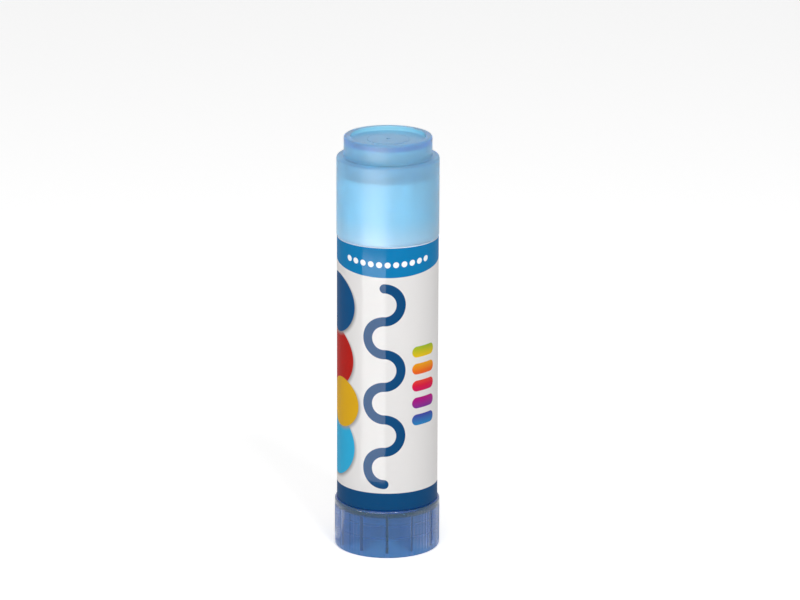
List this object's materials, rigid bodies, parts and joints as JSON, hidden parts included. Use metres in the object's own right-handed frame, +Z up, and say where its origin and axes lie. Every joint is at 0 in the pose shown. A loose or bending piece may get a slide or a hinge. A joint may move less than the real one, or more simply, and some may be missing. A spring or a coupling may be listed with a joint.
{
  "type": "glue stick",
  "caption": "Twist-up glue stick with a frosted push-on cap, a wrapped label and a clear ribbed knob that winds the glue up on a screw.",
  "frame": {"origin": "centre of the knob's foot, on the surface the stick stands on", "axes": "+Z up along the stick's axis towards the cap, -Y out of the front of the label"},
  "size_m": [0.03, 0.03, 0.1202],
  "materials": {
    "barrel_plastic": "smooth white moulded polypropylene",
    "label_film": "glossy printed film",
    "knob_clear_plastic": "clear blue moulded polystyrene",
    "spindle_plastic": "smooth white moulded plastic",
    "carrier_plastic": "smooth white moulded polypropylene",
    "glue_mass": "waxy off-white cast glue",
    "cap_frosted_plastic": "frosted light blue moulded polypropylene"
  },
  "bodies": {
    "barrel": {"barrel": "barrel_plastic", "label": "label_film"},
    "knob": {"knob": "knob_clear_plastic", "spindle": "spindle_plastic"},
    "glue": {"carrier": "carrier_plastic", "glue": "glue_mass"},
    "cap": {"cap": "cap_frosted_plastic"}
  },
  "joints": [
    {"name": "knob_turn", "type": "hinge", "parent": "barrel", "child": "knob", "pos_m": [0, 0, 0], "axis": [0, 0, 1], "range_deg": [0, 3600]},
    {"name": "glue_rise", "type": "slide", "parent": "barrel", "child": "glue", "axis": [0, 0, 1], "range_m": [0, 0.08]},
    {"name": "cap_pull", "type": "slide", "parent": "glue", "child": "cap", "axis": [0, 0, 1], "range_m": [0, 0.03]}
  ],
  "couplings": [
    {"joint": "knob_turn", "follows": "glue_rise", "rad_per_m": 785.4}
  ]
}
